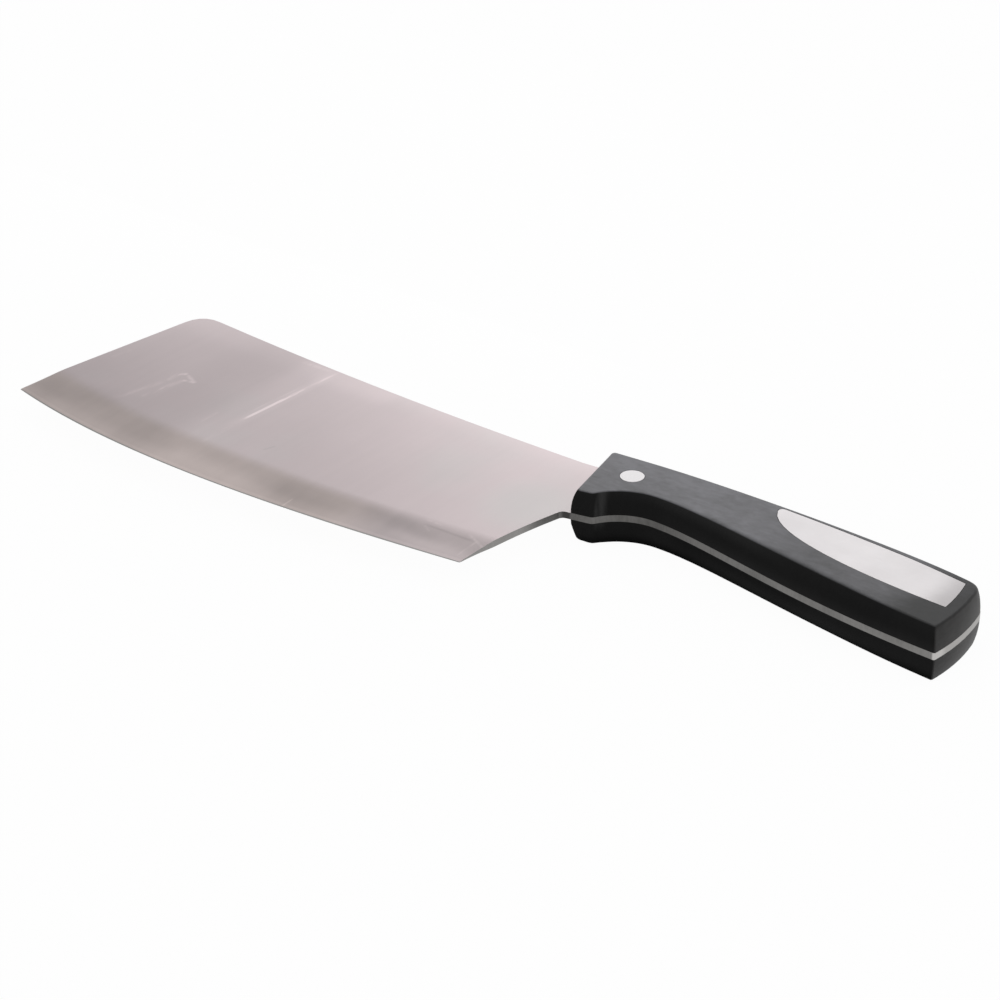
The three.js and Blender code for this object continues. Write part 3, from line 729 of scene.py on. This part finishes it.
def finished_piece(shape, name, node, slot, *materials):
    """Turns a working mesh into the piece that stands for a node."""
    shape.normal_update()
    for face in shape.faces:
        face.smooth = True
    for edge in shape.edges:
        edge.smooth = edge.calc_face_angle(0.0) <= SMOOTH_ANGLE
    mesh = bpy.data.meshes.new(name)
    shape.to_mesh(mesh)
    shape.free()
    for material in materials:
        mesh.materials.append(material)
    piece = bpy.data.objects.new(name, mesh)
    bpy.context.scene.collection.objects.link(piece)
    weighted = piece.modifiers.new("even_shading", "WEIGHTED_NORMAL")
    weighted.keep_sharp = True
    weighted.weight = SHADING_WEIGHT
    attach(piece, BODY)
    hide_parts(node)


def full_thickness(edge):
    """Whether an edge lies on a flat of the blade and not on its bevel."""
    return all(abs(v.co.z - BLADE_MIDDLE) > FULL_THICKNESS * BLADE_HALF for v in edge.verts)


def at_choil(edge):
    """Whether an edge lies in the bend of the choil."""
    return all(CHOIL_FROM_X < v.co.x < CHOIL_TO_X and v.co.y < CHOIL_TOP for v in edge.verts)


def make_blade(face_steel, edge_steel):
    """Blade and tang, with the corners of their cut edges eased."""
    shape = merged_copy("blade")
    choil = [e for e in corner_edges(shape) if full_thickness(e) and at_choil(e)]
    round_edges(shape, choil, CHOIL_ROUNDING)
    others = [e for e in corner_edges(shape) if full_thickness(e) and not at_choil(e)]
    round_edges(shape, others, BLADE_EDGE_ROUNDING)
    grind = shape.loops.layers.uv.new(GRIND_MAP)
    for face in shape.faces:
        face.material_index = 1 if abs(face.normal.z) < CUT_EDGE_NORMAL else 0
        for loop in face.loops:
            loop[grind].uv = loop.vert.co.xy
    finished_piece(shape, "ground_blade", "blade", "blade_steel", face_steel, edge_steel)


def ease_lower_guard(shape):
    """Buffs the lower front corner of the guard rounder than the upper one."""
    for vert in shape.verts:
        away = (vert.co - GUARD_CORNER).length / GUARD_REACH
        if away < 1.0:
            vert.co += GUARD_EASE * (1.0 - away) ** GUARD_EASE_POWER
    near = [v for v in shape.verts if (v.co - GUARD_CORNER).length < GUARD_REACH]
    buffed = [v for v in near if v.co.z < GUARD_BUFF_TOP]
    for _ in range(GUARD_BUFF_PASSES):
        bmesh.ops.smooth_vert(shape, verts=buffed, factor=GUARD_BUFF_SHARE, use_axis_x=True, use_axis_y=True)


def make_scale(name, node, black):
    """A handle scale with its corners eased, kept above its own foot."""
    shape = merged_copy(node)
    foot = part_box(node)[0].z
    if foot < BLADE_LOW.z - MM:
        ease_lower_guard(shape)
    round_edges(shape, corner_edges(shape), SCALE_EDGE_ROUNDING)
    for vert in shape.verts:
        vert.co.z = max(vert.co.z, foot)
    finished_piece(shape, name, node, "handle_black", black)


def make_trim(name, node, slot, steel, rounding):
    """A plate or a rivet half, with its corners eased."""
    shape = merged_copy(node)
    round_edges(shape, corner_edges(shape), rounding)
    finished_piece(shape, name, node, slot, steel)


def make_knife():
    plate = satin_plate()
    rivet = polished_rivet()
    black = scale_black()
    make_blade(ground_steel(), sheared_steel())
    for side in ("upper", "lower"):
        make_scale(f"{side}_handle_scale", f"{side}_scale", black)
        make_trim(f"{side}_let_in_plate", f"{side}_plate", "plate_steel", plate, PLATE_EDGE_ROUNDING)
    for place in ("front", "middle", "rear"):
        for half in ("stud", "socket"):
            node = f"{place}_rivet_{half}"
            make_trim(f"{node}_part", node, "rivet_steel", rivet, RIVET_EDGE_ROUNDING)


def make_floor():
    """A pale floor that keeps a faint shadow and shows white to the camera and in the steel."""
    shape = bmesh.new()
    bmesh.ops.create_grid(shape, x_segments=2, y_segments=2, size=FLOOR_SIDE / 2)
    mesh = bpy.data.meshes.new("floor")
    shape.to_mesh(mesh)
    shape.free()
    floor = bpy.data.objects.new("floor", mesh)
    bpy.context.scene.collection.objects.link(floor)
    mesh.materials.append(pale_floor())


def pale_floor():
    """Dull pale floor, mixed with plain white for the rays that see it directly."""
    material = bpy.data.materials.new("pale_floor")
    material.use_nodes = True
    tree = material.node_tree
    shader = tree.nodes["Principled BSDF"]
    shader.inputs["Base Color"].default_value = FLOOR_COLOUR
    shader.inputs["Roughness"].default_value = 1.0
    shader.inputs["Specular IOR Level"].default_value = 0.0
    white = tree.nodes.new("ShaderNodeEmission")
    share = tree.nodes.new("ShaderNodeMath")
    share.operation = "MULTIPLY"
    share.inputs[1].default_value = FLOOR_WHITENESS
    tree.links.new(seen_directly(tree), share.inputs[0])
    mix = tree.nodes.new("ShaderNodeMixShader")
    tree.links.new(share.outputs[0], mix.inputs[0])
    tree.links.new(shader.outputs[0], mix.inputs[1])
    tree.links.new(white.outputs[0], mix.inputs[2])
    tree.links.new(mix.outputs[0], tree.nodes["Material Output"].inputs["Surface"])
    return material


def seen_directly(tree):
    """One for rays of the camera, of reflections and of glass, and nought for the rest."""
    rays = tree.nodes.new("ShaderNodeLightPath")
    seen = rays.outputs["Is Camera Ray"]
    for kind in ("Is Glossy Ray", "Is Transmission Ray"):
        either = tree.nodes.new("ShaderNodeMath")
        either.operation = "MAXIMUM"
        tree.links.new(seen, either.inputs[0])
        tree.links.new(rays.outputs[kind], either.inputs[1])
        seen = either.outputs[0]
    return seen


def make_world():
    """Soft room light, brightest low down and dimmer towards the left."""
    world = bpy.data.worlds.new("studio")
    bpy.context.scene.world = world
    world.use_nodes = True
    tree = world.node_tree
    room = tree.nodes["Background"]
    place = tree.nodes.new("ShaderNodeTexCoord")
    split = tree.nodes.new("ShaderNodeSeparateXYZ")
    tree.links.new(place.outputs["Generated"], split.inputs[0])
    height = tree.nodes.new("ShaderNodeValToRGB")
    stops = height.color_ramp.elements
    while len(stops) < len(WORLD_LIGHT):
        stops.new(1.0)
    for stop, (sine, light) in zip(stops, WORLD_LIGHT):
        stop.position = sine
        stop.color = grey(light)
    tree.links.new(split.outputs["Z"], height.inputs[0])
    side = tree.nodes.new("ShaderNodeMapRange")
    side.interpolation_type = "SMOOTHSTEP"
    side.inputs["From Min"].default_value = WORLD_LEFT
    side.inputs["From Max"].default_value = WORLD_RIGHT
    side.inputs["To Min"].default_value = WORLD_LEFT_SHARE
    side.inputs["To Max"].default_value = 1.0
    tree.links.new(split.outputs["X"], side.inputs["Value"])
    tree.links.new(height.outputs[0], room.inputs["Color"])
    tree.links.new(side.outputs[0], room.inputs["Strength"])


def make_lamp(name, place, faced, width, height, power):
    """A flat lamp that faces a point and isn't seen itself."""
    lamp = bpy.data.lights.new(name, "AREA")
    lamp.shape = "RECTANGLE"
    lamp.size = width
    lamp.size_y = height
    lamp.energy = power
    holder = bpy.data.objects.new(name, lamp)
    bpy.context.scene.collection.objects.link(holder)
    holder.location = place
    holder.rotation_mode = "QUATERNION"
    holder.rotation_quaternion = (Vector(place) - Vector(faced)).to_track_quat("Z", "Y")
    holder.visible_camera = False


def make_camera():
    """The photograph's own view of the knife."""
    camera = bpy.data.cameras.new("camera")
    camera.lens = CAMERA_LENS
    camera.sensor_width = CAMERA_SENSOR
    holder = bpy.data.objects.new("camera", camera)
    bpy.context.scene.collection.objects.link(holder)
    level = math.cos(CAMERA_ELEVATION)
    back = Vector((
        level * math.sin(CAMERA_AZIMUTH),
        -level * math.cos(CAMERA_AZIMUTH),
        math.sin(CAMERA_ELEVATION),
    ))
    holder.location = CAMERA_TARGET + back * CAMERA_DISTANCE
    holder.rotation_mode = "QUATERNION"
    holder.rotation_quaternion = back.to_track_quat("Z", "Y")
    bpy.context.scene.camera = holder


make_camera()
make_world()
for lamp_facts in LAMPS:
    make_lamp(*lamp_facts)
make_floor()
make_knife()
bpy.context.scene.view_settings.view_transform = "Standard"
